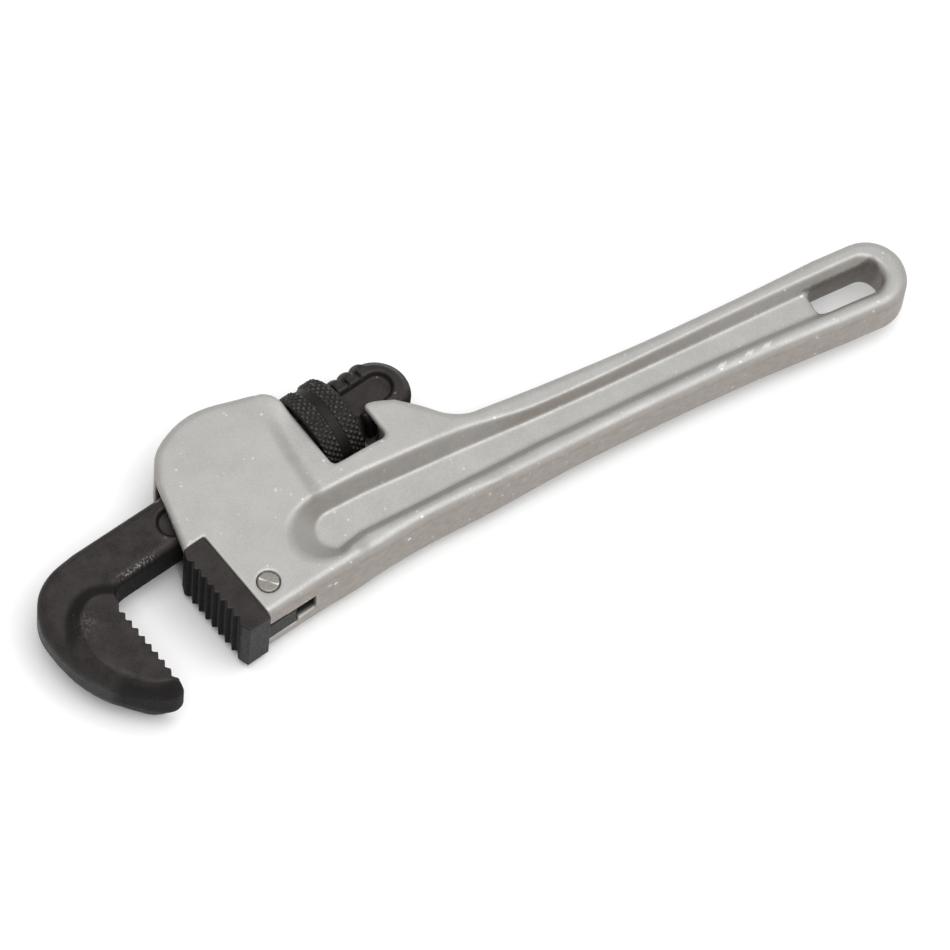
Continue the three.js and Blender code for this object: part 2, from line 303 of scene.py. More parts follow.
def slope(field, axes, points, reach):
    """The field's gradient at points."""
    parts = []
    for k in range(3):
        step = np.zeros(3)
        step[k] = reach
        rise = sample(field, axes, points + step) - sample(field, axes, points - step)
        parts.append(rise / (2 * reach))
    return np.stack(parts, axis=1)


def cell_points(field, axes, cells):
    """One point in each cell that the surface crosses: the middle of its crossings."""
    values = np.stack([field[tuple((cells + c).T)] for c in CORNERS], axis=1)
    total = np.zeros((len(cells), 3))
    hits = np.zeros(len(cells))
    for p, q in CELL_EDGES:
        crossed = (values[:, p] < 0) != (values[:, q] < 0)
        t = np.where(crossed, values[:, p] / np.where(crossed, values[:, p] - values[:, q], 1), 0)
        point = CORNERS[p] + t[:, None] * (CORNERS[q] - CORNERS[p])
        total += np.where(crossed[:, None], point, 0)
        hits += crossed
    local = total / hits[:, None]
    made = []
    for k in range(3):
        start = axes[k][cells[:, k]]
        made.append(start + local[:, k] * (axes[k][cells[:, k] + 1] - start))
    return np.stack(made, axis=1)


def cell_faces(inside, number):
    """A four-sided face across each grid edge that the surface crosses."""
    faces = []
    for axis in range(3):
        u, v = (axis + 1) % 3, (axis + 2) % 3
        near = [slice(1, -1)] * 3
        far = [slice(1, -1)] * 3
        near[axis] = slice(None, -1)
        far[axis] = slice(1, None)
        change = inside[tuple(near)] != inside[tuple(far)]
        at = np.argwhere(change)
        leaving = inside[tuple(near)][change]
        ring = []
        for du, dv in ((0, 0), (1, 0), (1, 1), (0, 1)):
            cell = at.copy()
            cell[:, u] += du
            cell[:, v] += dv
            ring.append(number[tuple(cell.T)])
        quads = np.stack(ring, axis=1)
        quads[~leaving] = quads[~leaving][:, ::-1]
        faces.append(quads)
    return np.concatenate(faces)


def relaxed(points, faces):
    """Each point moved half way to the middle of its neighbours."""
    total = np.zeros_like(points)
    hits = np.zeros(len(points))
    for k in range(4):
        p = faces[:, k]
        q = faces[:, (k + 1) % 4]
        for one, other in ((p, q), (q, p)):
            for axis in range(3):
                total[:, axis] += np.bincount(one, points[other, axis], len(points))
            hits += np.bincount(one, minlength=len(points))
    return (points + total / np.maximum(hits, 1)[:, None]) / 2


def surface(field, axes, passes=2):
    """The field's surface as points in head axes and four-sided faces."""
    inside = field < 0
    corners = [inside[tuple(slice(c[k], inside.shape[k] - 1 + c[k]) for k in range(3))] for c in CORNERS]
    filled = sum(c.astype(np.int8) for c in corners)
    active = (filled > 0) & (filled < 8)
    cells = np.argwhere(active)
    number = np.full(active.shape, -1, np.int64)
    number[active] = np.arange(len(cells))
    points = cell_points(field, axes, cells)
    faces = cell_faces(inside, number)
    reach = 0.4 * min(np.diff(axis).min() for axis in axes)
    for _ in range(passes):
        points = relaxed(points, faces)
        for _ in range(2):
            value = sample(field, axes, points)
            away = slope(field, axes, points, reach)
            length = np.maximum((away * away).sum(axis=1), 0.05)
            step = np.clip(value / length, -0.3, 0.3)
            points = points - step[:, None] * away
    return points, faces


# ---- meshes ----


def piece(name, points, faces, body, replaced, material, shade_and_grime=None, wear_and_highlight=None):
    """A shown piece from points in part axes in millimetres.

    The two painted attributes run from 0 to 1: the first darkens each point with painted shade and a little
    real dirt, the second shows bare metal from wear and, on the hook's shoulder, a painted highlight.
    """
    mesh = bpy.data.meshes.new(name)
    mesh.from_pydata(np.asarray(points) * MM, [], [list(f) for f in faces])
    for label, amount in (("shade_and_grime", shade_and_grime), ("wear_and_highlight", wear_and_highlight)):
        if amount is not None:
            painted = mesh.attributes.new(label, "FLOAT", "POINT")
            painted.data.foreach_set("value", amount.astype(np.float32))
    mesh.validate()
    mesh.shade_smooth()
    mesh.materials.append(material)
    made = bpy.data.objects.new(name, mesh)
    bpy.context.scene.collection.objects.link(made)
    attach(made, body)
    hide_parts(replaced)
    return made


def from_head(points):
    """Points in head axes as points in part axes."""
    points = np.asarray(points, float)
    x, y = head_to_part(points[:, 0], points[:, 1])
    return np.stack([x, y, points[:, 2] + MID_Z], axis=1)


def ring_faces(rows, around, closed_rows=False):
    """Faces between rows of points that each go once round."""
    faces = []
    for i in range(rows if closed_rows else rows - 1):
        here = i * around
        above = ((i + 1) % rows) * around
        for j in range(around):
            k = (j + 1) % around
            faces.append((here + j, here + k, above + k, above + j))
    return faces


def turned(profile, around):
    """A body turned about its first axis, from [along, radius] pairs that start and end at the axis."""
    turn = 2 * math.pi * np.arange(around) / around
    points = []
    for along, radius in profile[1:-1]:
        points += [(along, radius * math.cos(t), radius * math.sin(t)) for t in turn]
    rows = len(profile) - 2
    faces = [f[::-1] for f in ring_faces(rows, around)]
    first = len(points)
    points.append((profile[0][0], 0, 0))
    points.append((profile[-1][0], 0, 0))
    last = (rows - 1) * around
    for j in range(around):
        k = (j + 1) % around
        faces.append((first, j, k))
        faces.append((first + 1, last + k, last + j))
    return np.array(points), faces


def rounded_profile(corners, r, count=3):
    """A turned profile whose inner corners are rounded."""
    made = [corners[0]]
    for before, here, after in zip(corners, corners[1:], corners[2:]):
        p, q, n = (np.array(v, float) for v in (before, here, after))
        into = (p - q) / np.linalg.norm(p - q)
        out = (n - q) / np.linalg.norm(n - q)
        reach = min(r, np.linalg.norm(p - q) / 2.2, np.linalg.norm(n - q) / 2.2)
        for t in np.linspace(0, 1, count + 1):
            made.append(tuple(q + into * reach * (1 - t) ** 2 + out * reach * t**2))
    made.append(corners[-1])
    return made


# ---- the aluminium casting ----


def head_outline():
    over_channel = [(-69.6, 48.8), (-63.4, 56.9), (-51.3, 60.4), (-38.7, 57.3), (-24, 49.2), (-8.2, 34.8)]
    crown = smooth(over_channel, 24)
    neck = smooth([(-2.4, 31.8), (2.6, 26), (7.2, 18.8), (12, 9), (13.5, 3)], 16)
    front = smooth([(4.2, -5.6), (-15.6, -3.2), (-40, -2.3), (-54, -1.6), (-84, -0.9)], 16)
    return [(-75.9, 28.3), *crown, *neck, (12, -4), *front]


def handle_outline():
    back = smooth([(10.7, 11.3), (36, 10.6), (62, 10.1), (92, 10.6), (115, 11.5)], 16)
    towards_head = [(115, -10.4), (92, -9.6), (73, -9.5), (54, -9.8), (35, -10.4), (16, -11.5), (5.1, -12.2)]
    front = smooth(towards_head, 24)
    tip = arc(126.3, 0.4, 11, 87, -87, 20)
    return on_handle([(-14, 11.4), (5, 11.4), *back, *tip, *front, (-14, -8)])


def recess_floor():
    """The flat floor of the hollow along the handle."""
    head_end = arc(RECESS_END_A, RECESS_END_B, 5.6, 232, 95, 12)
    upper = smooth([(3.3, 3.3), (33, 3.1), (62, 3.4), (92, 3.8), (118, 4.1)], 12)
    lower = smooth([(119, -2.9), (92, -2.3), (62, -2.3), (22, -3.2)], 12)
    hole_end = arc(124.6, 0.4, 3.9, 70, -70, 8)
    return [*head_end, (-25, 15.4), *on_handle([*upper, *hole_end, *lower]), (-18, 5.4), (-33, 7.4)]


def nut_window():
    low_left = arc(-26.5, 26.7, 1.6, 180, 266, 6)
    low_right = arc(-12.7, 25.7, 1.6, 274, 358, 6)
    under_horn = arc(-9.3, 33.5, 1.6, 178, 90, 6)
    return [(-27.7, 64), *low_left, *low_right, *under_horn, (-8.4, 35.2), (-8.4, 64)]


def beside_window(a, b):
    """Distance from the soft step that runs down the head's face beside the nut's window."""
    return a + 37 - 0.0035 * (b - 24) ** 2 - 0.08 * (b - 24)


def casting_half(grid, floor):
    """Half thickness of the casting over its plan: thick head, thinner handle, hollow web."""
    step = 0.8 * ramp(grid.b, 52, 42)
    head_face = HOUSING_HALF - step * ramp(beside_window(grid.a, grid.b), -2.4, 2.4)
    face = between(head_face, HANDLE_HALF, ramp(grid.x, -14, 36))
    from_end = np.hypot(grid.a - RECESS_END_A, grid.b - RECESS_END_B)
    towards_mouth = np.clip((RECESS_END_A - grid.a) / from_end, 0, 1)
    front_side = ramp(grid.y, 2, -2)
    in_head = 1 - ramp(grid.x, 0, 26)
    back_spread = between(2.3, 3.4, ramp(grid.x, 40, 100))
    spread = between(back_spread, 3.9, front_side) + between(2.5, 0.8, front_side) * in_head
    spread = spread + 6.4 * towards_mouth**2.5
    return WEB_HALF + (face - WEB_HALF) * wall_profile(np.clip(floor / spread, 0, 1))


def wall_profile(t):
    """Rise of a recess wall from its floor at 0 to its rim at 1.

    It has a small fillet, a slope and a broad rounding.
    """
    low = 0.12
    high = 0.66
    fillet = t * t / (2 * low)
    straight = t - low / 2
    rounding = t - low / 2 - (t - high) ** 2 / (2 * (1 - high))
    rim = high - low / 2 + (1 - high) / 2
    return np.where(t < low, fillet, np.where(t < high, straight, rounding)) / rim


def casting_edge(grid, window):
    """Radius of the casting's edges over its plan."""
    front = between(2.2, 2.8, ramp(grid.a, -69, -40))
    back = between(2.0, 2.4, ramp(grid.a, -72, -60))
    across = between(grid.b - 9, grid.y, ramp(grid.a, -10, 10))
    outer = between(front, back, ramp(across, -3, 3))
    by_horn = between(0.5, 1.3, ramp(grid.a, -17, -11))
    return between(by_horn, outer, ramp(window, 1, 12))


def casting_field(grid):
    floor = grid.plan(recess_floor())
    window = grid.plan(nut_window())
    neck_fillet = 4 * ramp(grid.b, 0, 8)
    plan = join(grid.plan(head_outline()), grid.plan(handle_outline()), neck_fillet)
    corner = between(1.2, 3.2, ramp(grid.b, 38, 46))
    plan = carve(plan, window, corner)
    draft = 0.08 * (1 - ramp(grid.b, 2, 8)) * (1 - ramp(grid.a, -30, 0))
    body = grid.plate(plan, casting_half(grid, floor), casting_edge(grid, window), draft)
    body = carve(body, hang_hole(grid), 0.8)
    heel_seat = np.maximum(grid.a + 69.2, grid.b - 28.3)
    body = carve(body, heel_seat[:, :, None], 0.35)
    body = carve(body, shank_channel(grid), 0.5)
    for cut in (spring_hollow(grid), tongue_slot(grid), coil_bore(grid)):
        body = carve(body, cut, 0.3)
    return carve(body, pin_hole(grid), 0.12)


def hang_hole(grid):
    """The slot-shaped hole right through the handle's end."""
    beyond_x = np.maximum(np.abs(grid.x - HOLE_X) - HOLE_STRAIGHT_X, 0)
    beyond_y = np.maximum(np.abs(grid.y - HOLE_Y) - HOLE_STRAIGHT_Y, 0)
    return (np.hypot(beyond_x, beyond_y) - HOLE_CORNER_R)[:, :, None]


def pin_hole(grid):
    """The hole for the pin, through the casting and the heel jaw's tongue."""
    return (np.hypot(grid.a - PIN_A, grid.b - PIN_B) - PIN_R - PIN_GAP)[:, :, None]


def shank_channel(grid):
    """The passage through the head that the shank slides in; it widens towards the mouth."""
    plan = grid.plan([(-90, 52.1), (-26, 49.5), (30, 49.5), (30, 27.2), (-26, 28.9), (-90, 28.9)])
    return grid.block(plan, -CHANNEL_HALF, CHANNEL_HALF)


def spring_hollow(grid):
    """Room under the channel for the leaf spring."""
    plan = np.maximum(np.abs(grid.a + 48.4) - 18.6, np.abs(grid.b - 28.1) - 1.4)
    return grid.block(plan, -5.2, 5.2)


def tongue_slot(grid):
    """The slot in the front wall for the heel jaw's tongue; its far end has a raised lip."""
    deep = grid.plan([(-76, -8), (-76, 15.8), (-59.6, 15.8), (-59.6, -8)])
    end = grid.plan([(-62, -8), (-62, 15.8), (-60, 15.8), (-56.4, 13), (-53.9, 8), (-53.9, -8)])
    return np.minimum(grid.block(deep, -4.5, 4), grid.block(end, -2.5, 4))


def coil_bore(grid):
    """The round pocket for the coil spring."""
    across = np.hypot(grid.a[:, :, None] - COIL_A, grid.z) - 3.5
    return np.maximum(across, np.abs(grid.b - 22.5)[:, :, None] - 6.1)


def casting(material):
    grid = Grid(
        lines((-86, 2, 0.5), (2, 108, 1.06), (108, 138, 0.8)),
        lines((-31, 62, 0.5)),
        lines((-10.75, 10.75, 0.5)),
    )
    points, faces = surface(casting_field(grid), grid.axes)
    shade_and_dirt = casting_painted_shade(points)
    placed = from_head(points)
    piece("housing_casting", placed, faces, "housing", "handle_housing", material, shade_and_dirt)


def casting_painted_shade(points):
    """Painted shade deep in the shank's channel, the window and the tongue's slot, on the hang hole's upper
    wall and along the soft step beside the window.
    """
    a, b, z = points.T
    inner = ramp(np.abs(z), 8.2, 6.4)
    plan = outline_distance(head_outline(), a, b)
    channel = ramp(plan, -0.5, -2.5) * ramp(b, 26, 27.5) * (a < 12)
    slot = ramp(plan, -0.5, -2) * (a < -53) * (b < 17)
    x, y = head_to_handle(a, b)
    hole = 0.4 * (np.abs(x - HOLE_X) < 11) * (np.abs(y - HOLE_Y) < 4.8) * ramp(y, 0.5, 3)
    window_end = 1 - 0.6 * (a > -9.5)
    step_length = ramp(b, 14, 18) * ramp(b, 48, 38) * (np.abs(z) > 9)
    # A stripe of painted shade runs along the soft step beside the window.
    step = 0.1 * ramp(np.abs(beside_window(a, b)), 3, 0.4) * step_length
    return np.maximum(inner * np.maximum(np.maximum(channel * window_end, slot), hole), step)


# ---- the jaws ----


def tooth_cut(face_a, top_b, count, out):
    """Outline of what is cut away between saw teeth; out is +1 for a face that looks to +a."""
    to_tip = TOOTH_STEEP if out > 0 else TOOTH_PITCH - TOOTH_STEEP
    above = TOOTH_PITCH - to_tip
    points = [(face_a + 3 * out, top_b + above + 3 * above / TOOTH_DEPTH)]
    for i in range(count + 1):
        points.append((face_a - TOOTH_DEPTH * out, top_b - i * TOOTH_PITCH))
        if i < count:
            points.append((face_a - 0.02 * out, top_b - i * TOOTH_PITCH - to_tip))
    low = top_b - count * TOOTH_PITCH - to_tip - 3 * to_tip / TOOTH_DEPTH
    points.append((face_a + 3 * out, low))
    return points


def heel_jaw_field(grid):
    top = [(-69.5, 28.1), (-76.1, 28.1), (-77.2, 25.5)]
    bottom = [(HEEL_FACE_A, 1.5), (-76.4, -1.4), (-69.5, -1.4)]
    block = grid.plan([*top, *bottom])
    nose = smooth([(-60.4, -1), (-60, 1.2), (-59.9, 5), (-59.9, 9), (-61, 12.8), (-63.4, 14.8)], 20)
    tongue = grid.plan([(-71, -1), *nose, (-71, 15.1)])
    body = grid.plate(block, HEEL_HALF, 0.3)
    body = join(body, grid.plate(tongue, 3.7, 0.3), 0.3)
    teeth = grid.plan(tooth_cut(HEEL_FACE_A, 23.85, 7, -1))
    body = carve(body, teeth[:, :, None], 0.1)
    return carve(body, pin_hole(grid), 0.12)


def heel_jaw(material):
    grid = Grid(lines((-78.2, -58.4, 0.22)), lines((-2.2, 28.8, 0.2)), lines((-10.78, 10.78, 0.22)))
    points, faces = surface(heel_jaw_field(grid), grid.axes, 1)
    a, b, z = points.T
    # Painted shade, with a little real dirt, darkens the valleys between the teeth.
    shade_and_dirt = ramp(a, -76.1, -76.5) * ramp(b, 0.8, 2) * ramp(np.abs(z), HEEL_HALF, HEEL_HALF - 0.6)
    placed = from_head(points)
    piece("heel_jaw_block", placed, faces, "housing", "heel_jaw", material, shade_and_dirt)


def hook_outline():
    crown = [(-98.9, 46.4), (-107.4, 45.3), (-114, 41.6), (-118.3, 34.6), (-119.1, 26), (-117.8, 17.4)]
    nose = [(-114, 8.8), (-109.2, 2.8), (-104.7, -1.5), (-101.4, -3.1), (-98.8, -2.4), (-98.5, -0.2)]
    throat = arc(-92.4, 26, 5.9, 180, 92, 10)
    return [(-49.4, 46.2), *smooth(crown + nose, 66), (HOOK_FACE_A, 2), *throat, (-49.4, 31.95)]


def tooth_block_outline():
    """The thick part behind the teeth; it runs out past the tooth face."""
    top = [(-98.6, 29), (-102, 31), (-106, 30.9), (-110.4, 27.6), (-113, 20.5)]
    low = [(-112.6, 12.6), (-109.4, 6), (-104.8, 1), (-99, -0.6)]
    return [(-90, -0.6), (-90, 20), (-98.4, 23), *smooth(top + low, 40)]


def pocket_outline(a, b):
    """Distance to the outline of the long round-ended pocket in the shank's side."""
    along = np.clip(a, POCKET_START_A, POCKET_END_A)
    return np.hypot(a - along, b - POCKET_B) - POCKET_R


def jaw_half(grid):
    """Half thickness of the hook jaw over its plan, with the side pocket along its shank."""
    block = grid.plan(tooth_block_outline())
    reach = between(3.4, 8, ramp(grid.b, 3, 12) * ramp(grid.b, 30, 20))
    rise = np.clip(1 - block / (reach + 0.8 * ramp(grid.b, 24, 30)), 0, 1)
    half = SHANK_HALF + (JAW_HALF - SHANK_HALF) * (0.75 * rise**2 + 0.25 * rise)
    pocket = pocket_outline(grid.a, grid.b)
    lip = np.clip(1 - np.abs(pocket - 0.7) / 0.8, 0, 1)
    return half - 1.3 * ramp(pocket, 0.1, -0.8) + 0.3 * lip * lip


def thread_field(grid, half):
    """The shank's screw thread: broad rounded crests with narrow roots, cut off flat on both sides."""
    across = (grid.b - SHANK_AXIS_B)[:, :, None]
    turn = np.arctan2(grid.z, across) / (2 * math.pi)
    phase = np.mod(grid.a[:, :, None] / THREAD_PITCH - turn - THREAD_PHASE, 1)
    u = np.abs(phase * 2 - 1) / 0.82
    crest = between(THREAD_ROOT_R, THREAD_CREST_R, np.sqrt(np.clip(1 - u**2.6, 0, 1)))
    round_body = (np.hypot(across, grid.z) - crest) * 0.8
    ends = np.abs(grid.a - (THREAD_START_A + THREAD_END_A) / 2) - (THREAD_END_A - THREAD_START_A) / 2 - 0.4
    body = meet(round_body, ends[:, :, None], 0.4)
    return meet(body, np.abs(grid.z) - half[:, :, None], 0.45)


def hook_jaw_field(grid):
    half = jaw_half(grid)
    plan = grid.plan(hook_outline())
    rim = between(3.6, 4.9, ramp(grid.a, -105, -112))
    tooth_side = between(0.4, rim, ramp(grid.a, -101.5, -108))
    hooked = between(rim, tooth_side, ramp(grid.b, 0.5, 4))
    back = between(2.2, rim, ramp(grid.b, 44, 30))
    hooked = between(hooked, back, ramp(grid.b, 24, 32))
    lower_edge = between(2.6, 2.2, ramp(grid.b, 33, 42))
    edge = between(lower_edge, hooked, np.maximum(ramp(grid.a, -97, -100.5), ramp(grid.b, 20, 14)))
    edge = between(edge, 1.6, ramp(np.hypot(grid.a + 99, grid.b - 27), 6.5, 3))
    body = grid.plate(plan, half, edge)
    body = join(body, thread_field(grid, half), 0.5)
    disc = np.hypot(grid.a - TAIL_A, grid.b - TAIL_B) - TAIL_R
    tail = bevel(disc[:, :, None], np.abs(grid.z) - half[:, :, None], 2.2)
    tail = np.maximum(tail, (THREAD_END_A - 0.3 - grid.a)[:, :, None])
    tail = meet(tail, (SHANK_AXIS_B - TAIL_R - grid.b)[:, :, None], 1.5)
    body = join(body, tail, 0.25)
    teeth = grid.plan(tooth_cut(HOOK_FACE_A, 23.8, 8, 1))
    return carve(body, teeth[:, :, None], 0.12)


def hook_jaw(material):
    grid = Grid(
        lines((-120.2, -96, 0.32), (-96, 7.4, 0.4)),
        lines((-4.1, 49.6, 0.36)),
        lines((-10.2, 10.2, 0.36)),
    )
    points, faces = surface(hook_jaw_field(grid), grid.axes, 1)
    shade_and_dirt = hook_painted_shade(*points.T)
    wear_and_highlight = hook_wear_and_highlight(*points.T)
    placed = from_head(points)
    piece("hook_jaw_forging", placed, faces, "hook", "hook_jaw", material, shade_and_dirt, wear_and_highlight)


def hook_painted_shade(a, b, z):
    """Painted shade in the throat, round the pocket and along both ends of the tooth block."""
    throat = ramp(b, 23, 26) * ramp(b, 33.4, 32) * ramp(a, -101.5, -99) * ramp(np.abs(z), 6.4, 4.6)
    groove = ramp(np.abs(pocket_outline(a, b) + 0.3), 0.7, 0.2) * ramp(np.abs(z), 4, 5.5)
    off_block = outline_distance(tooth_block_outline(), a, b)
    block_ends = np.maximum(ramp(b, 22, 26), ramp(b, 10, 6))
    beside_block = ramp(off_block, -0.4, 0.8) * ramp(off_block, 5.4, 3) * block_ends
    return np.maximum(np.maximum(0.9 * throat, 0.7 * groove), 0.75 * beside_block)


def hook_wear_and_highlight(a, b, z):
    """Bare metal worn along the shank's lower edge, and a little painted highlight on the tooth block's
    shoulder.
    """
    along_edge = ramp(a, -95, -92) * ramp(a, -80, -84)
    edge = ramp(np.abs(b - 32.9), 1.2, 0.4) * along_edge * ramp(np.abs(z), 3.8, 5)
    # The shoulder patch is a painted highlight, a lighter spot where the rim catches the light.
    shoulder = ramp(np.hypot(a + 110.5, b - 26.5), 5.5, 1) * (np.abs(z) > 5)
    return np.maximum(edge, 0.3 * shoulder)


# ---- the knurled nut ----


def knurl(along, turn):
    """Height of the diamond knurl, 0 to 1."""
    u = turn * KNURL_COUNT / (2 * math.pi)
    v = along / (2 * math.pi * NUT_R / KNURL_COUNT)
    first = np.mod(u + v, 1) * 2 - 1
    second = np.mod(u - v, 1) * 2 - 1
    return (1 - first**2) * (1 - second**2)


def in_groove(along):
    """1 in the plain groove between the nut's two knurled bands, 0 beyond it."""
    into = ramp(along, GROOVE_START, GROOVE_START + GROOVE_SLOPE)
    return into * ramp(along, GROOVE_END, GROOVE_END - GROOVE_SLOPE)


def nut_outside(along):
    """Radius and knurl strength of the nut's outside."""
    groove = in_groove(along)
    left = 0.6 * np.clip(1 - along / 0.7, 0, 1) ** 2
    right = 2.0 * np.clip((along - NUT_LENGTH + 1.8) / 1.8, 0, 1) ** 2.2
    radius = NUT_R - 0.02 - 0.8 * groove - left - right
    strength = (1 - groove) * ramp(along, -0.2, 0.3) * (1 - ramp(along, NUT_LENGTH - 0.9, NUT_LENGTH - 0.2))
    return radius, strength


def nut_inside(along, turn):
    """Radius of the nut's bore with its helical ridge."""
    a = along + NUT_LEFT_A
    phase = np.mod(a / THREAD_PITCH - turn / (2 * math.pi) - THREAD_PHASE + 0.5, 1) - 0.5
    ridge = 1 - ramp(np.abs(phase), 0.085, 0.145)
    return NUT_BORE_R - NUT_RIDGE * ridge


def nut(material):
    around = 320
    turn = 2 * math.pi * np.arange(around) / around
    rows = []
    for along in np.linspace(0, NUT_LENGTH, 60):
        radius, strength = nut_outside(along)
        r = radius - KNURL_DEPTH * strength * (1 - knurl(along, turn))
        rows.append((along + 0 * turn, r))
    last_outside = rows[-1][1]
    last_inside = nut_inside(NUT_LENGTH, turn) + 0.3
    for share in (0.35, 0.75):
        rows.append((NUT_LENGTH + 0 * turn, between(last_outside, last_inside, share)))
    for along in np.linspace(NUT_LENGTH, 0, 100):
        chamfer = 0.35 * (1 - ramp(along, 0, 0.5)) + 0.35 * ramp(along, NUT_LENGTH - 0.5, NUT_LENGTH)
        rows.append((along + 0 * turn, nut_inside(along, turn) + chamfer))
    first_outside = rows[0][1]
    first_inside = nut_inside(0, turn) + 0.35
    for share in (0.25, 0.65):
        rows.append((0 * turn, between(first_inside, first_outside, share)))
    points = []
    for along, r in rows:
        across = SHANK_AXIS_B + r * np.cos(turn)
        points.append(np.stack([NUT_LEFT_A + along, across, r * np.sin(turn)], axis=1))
    points = np.concatenate(points)
    along = points[:, 0] - NUT_LEFT_A
    outside = np.hypot(points[:, 1] - SHANK_AXIS_B, points[:, 2]) > NUT_R - 2
    # Painted shade darkens the plain groove between the knurled bands.
    shade_and_dirt = 0.25 * outside * in_groove(along)
    faces = ring_faces(len(rows), around, True)
    piece("nut_knurled", from_head(points), faces, "nut", "knurled_nut", material, shade_and_dirt)


# ---- pin, springs and rivet ----


def jaw_pin(material):
    half = HOUSING_HALF
    one_end = [(-half, 0), (-half, 0.6), (-half, PIN_R - 0.8), (-half, PIN_R - 0.35), (-half + 0.35, PIN_R)]
    other_end = [(-along, radius) for along, radius in one_end[::-1]]
    points, faces = turned(rounded_profile(one_end + other_end, 0.2), 72)
    placed = np.stack([PIN_A + points[:, 2], PIN_B + points[:, 1], points[:, 0]], axis=1)
    piece("jaw_pin_ground", from_head(placed), faces, "housing", "heel_jaw_pin", material)


def leaf_spring(material):
    lower = smooth([(-65.5, 28.1), (-60, 27.75), (-48, 27.55), (-37, 27.7), (-31, 28.1)], 24)
    upper = [(a, b + 0.6) for a, b in lower][::-1]
    grid = Grid(lines((-66, -30.5, 0.3)), lines((27.2, 29.0, 0.12)), lines((-4.7, 4.7, 0.2)))
    body = grid.plate(grid.plan([*lower, *upper]), 4.4, 0.18)
    past_end = np.maximum(np.abs(grid.a + 48.25) - 15.2, 0)[:, :, None]
    past_side = np.maximum(np.abs(grid.z) - 2.4, 0)
    body = meet(body, np.hypot(past_end, past_side) - 2, 0.1)
    rivet_hole = np.hypot(grid.a[:, :, None] - COIL_A, grid.z) - 1.2
    points, faces = surface(carve(body, rivet_hole, 0.1), grid.axes, 1)
    placed = from_head(points)
    piece("leaf_spring_bent", placed, faces, "spring_carrier", "flat_spring", material)


def rivet(material):
    corners = [(24.4, 0), (24.4, 0.85), (28.35, 0.85), (28.35, 1.9), (28.6, 1.75), (28.9, 1.1), (28.9, 0)]
    points, faces = turned(rounded_profile(corners, 0.15), 40)
    placed = from_head(np.stack([COIL_A + points[:, 1], points[:, 0], points[:, 2]], axis=1))
    piece("spring_rivet_headed", placed, faces, "spring_carrier", "spring_rivet", material)


def coil_spring(material):
    """Even turns of round wire between the floor of the housing's bore and the leaf."""
    turns = 5
    steps = 300
    around = 12
    wire = 0.53
    t = np.linspace(0, 1, steps + 1)
    turn = 2 * math.pi * turns * t
    rise = between(17.1, 26.7, t)
    centre = np.stack([COIL_A + COIL_R * np.cos(turn), rise, COIL_R * np.sin(turn)], axis=1)
    forward = np.gradient(centre, axis=0)
    forward /= np.linalg.norm(forward, axis=1)[:, None]
    out = np.stack([np.cos(turn), 0 * turn, np.sin(turn)], axis=1)
    side = np.cross(forward, out)
    angle = 2 * math.pi * np.arange(around) / around
    points = centre[:, None] + wire * (
        np.cos(angle)[None, :, None] * out[:, None] + np.sin(angle)[None, :, None] * side[:, None]
    )
    points = np.concatenate([points.reshape(-1, 3), centre[:1], centre[-1:]])
    faces = ring_faces(steps + 1, around)
    start = (steps + 1) * around
    last = steps * around
    for j in range(around):
        k = (j + 1) % around
        faces.append((k, j, start))
        faces.append((last + j, last + k, start + 1))
    piece("coil_spring_wound", from_head(points), faces, "housing", "coil_spring", material)


# ---- materials ----


